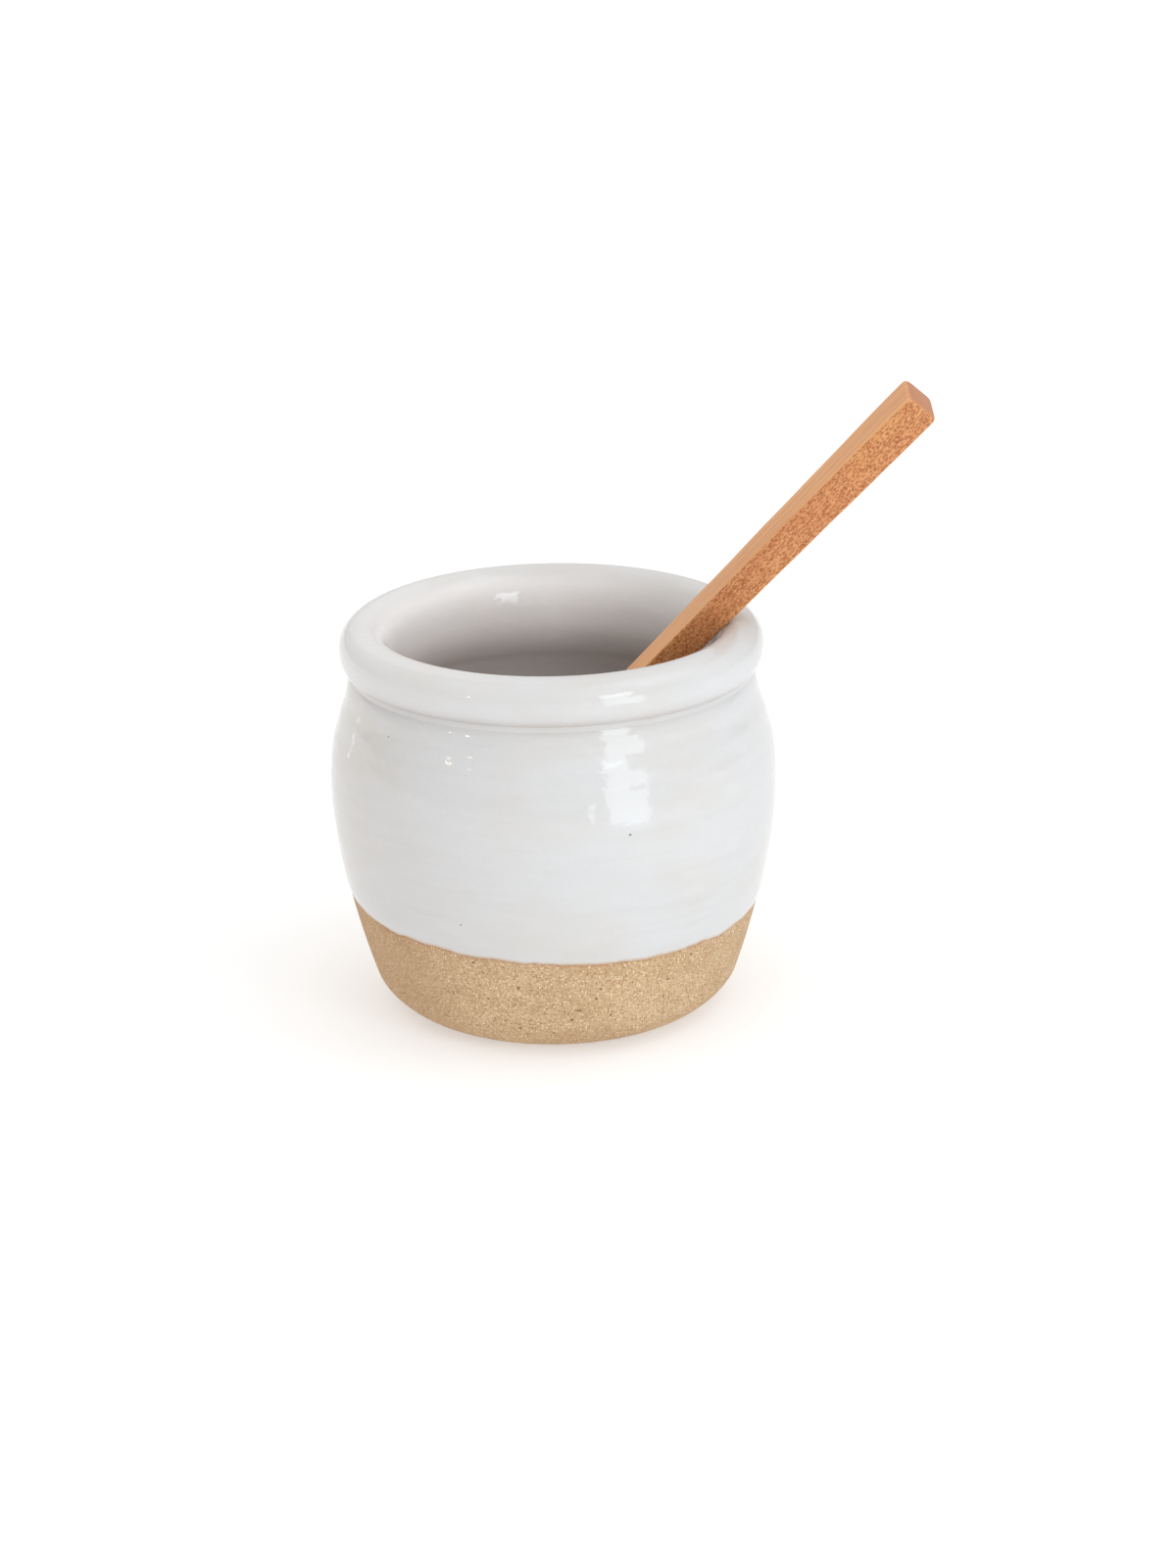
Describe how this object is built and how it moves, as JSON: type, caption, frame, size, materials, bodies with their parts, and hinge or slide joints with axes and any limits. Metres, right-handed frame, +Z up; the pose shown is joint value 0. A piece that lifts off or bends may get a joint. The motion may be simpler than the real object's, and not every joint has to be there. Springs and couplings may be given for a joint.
{
  "type": "pickle pot",
  "caption": "Open round-bellied stoneware pot with a rolled rim, white glaze above a bare clay foot, and a small wooden serving spoon that leans in it and lifts out.",
  "frame": {"origin": "middle of the pot's flat foot, on the surface that it stands on", "axes": "+Z up the pot's axis, -Y towards the viewer, +X the side that the spoon's handle leans to"},
  "size_m": [0.1359, 0.1014, 0.1461],
  "materials": {
    "clay": "bare fired clay, matt and finely grained",
    "glaze": "glossy white glaze",
    "wood": "sanded and oiled"
  },
  "bodies": {
    "pot": {"stoneware_body": "clay", "white_glaze": "glaze"},
    "spoon": {"wooden_spoon": "wood"}
  },
  "joints": [
    {"name": "spoon_lift", "type": "slide", "parent": "pot", "child": "spoon", "axis": [0.4162, -0.0734, 0.9063], "range_m": [0, 0.1]}
  ]
}
